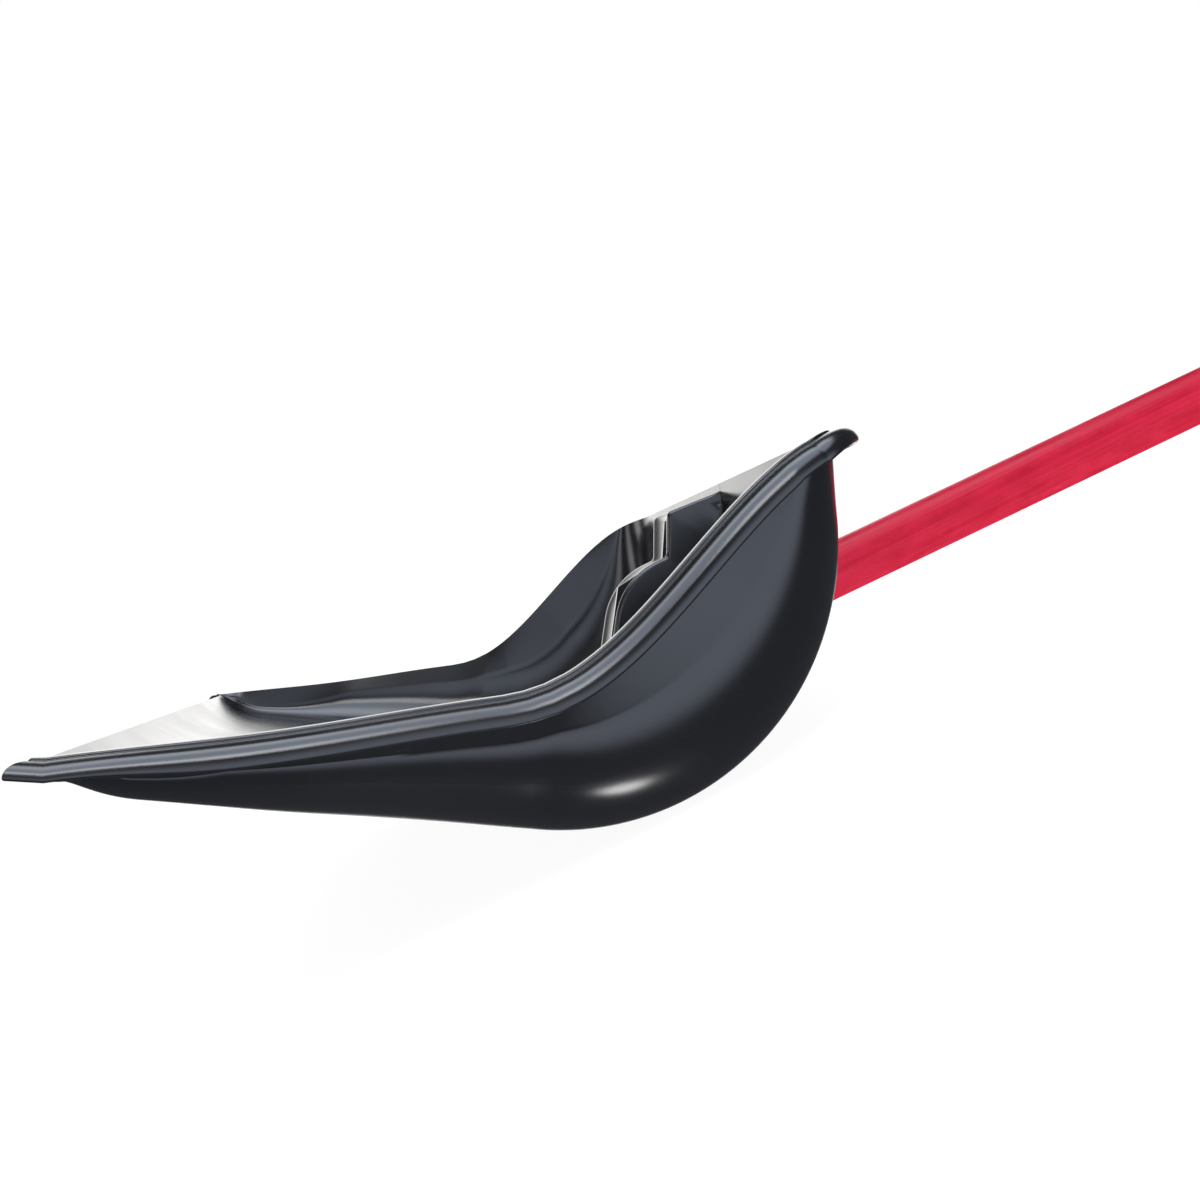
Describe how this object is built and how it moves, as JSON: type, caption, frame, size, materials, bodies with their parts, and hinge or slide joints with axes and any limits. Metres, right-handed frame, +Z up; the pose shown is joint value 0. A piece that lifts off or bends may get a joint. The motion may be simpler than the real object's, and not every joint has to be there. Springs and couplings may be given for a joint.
{
  "type": "snow shovel",
  "caption": "Deep moulded scoop with a rolled rim, a straight round tube shaft bolted into a socket in the back wall, and a D-grip.",
  "frame": {"origin": "on the surface that the shovel lies on, under the centre of its bounding box", "axes": "+X from the front edge of the scoop towards the grip, +Y across the scoop, +Z up"},
  "size_m": [1.2968, 0.506, 0.1267],
  "materials": {
    "scoop_polymer": "glossy black moulded polymer with a faint blue sheen",
    "red_fibreglass": "satin red fibreglass with fine lengthwise streaks",
    "core_wood": "plain turned hardwood, unfinished",
    "zinc_steel": "bright zinc plate",
    "grip_polymer": "fine-grained black moulded polymer",
    "grip_rubber": "soft matt black rubber with fine ribs"
  },
  "bodies": {
    "root": {"scoop": "scoop_polymer", "shaft": "red_fibreglass", "lower_core": "core_wood", "upper_core": "core_wood", "socket_bolts": "zinc_steel", "socket_washers": "zinc_steel", "socket_nuts": "zinc_steel", "grip_frame": "grip_polymer", "grip_cushion": "grip_rubber", "grip_screws": "zinc_steel"}
  },
  "joints": []
}
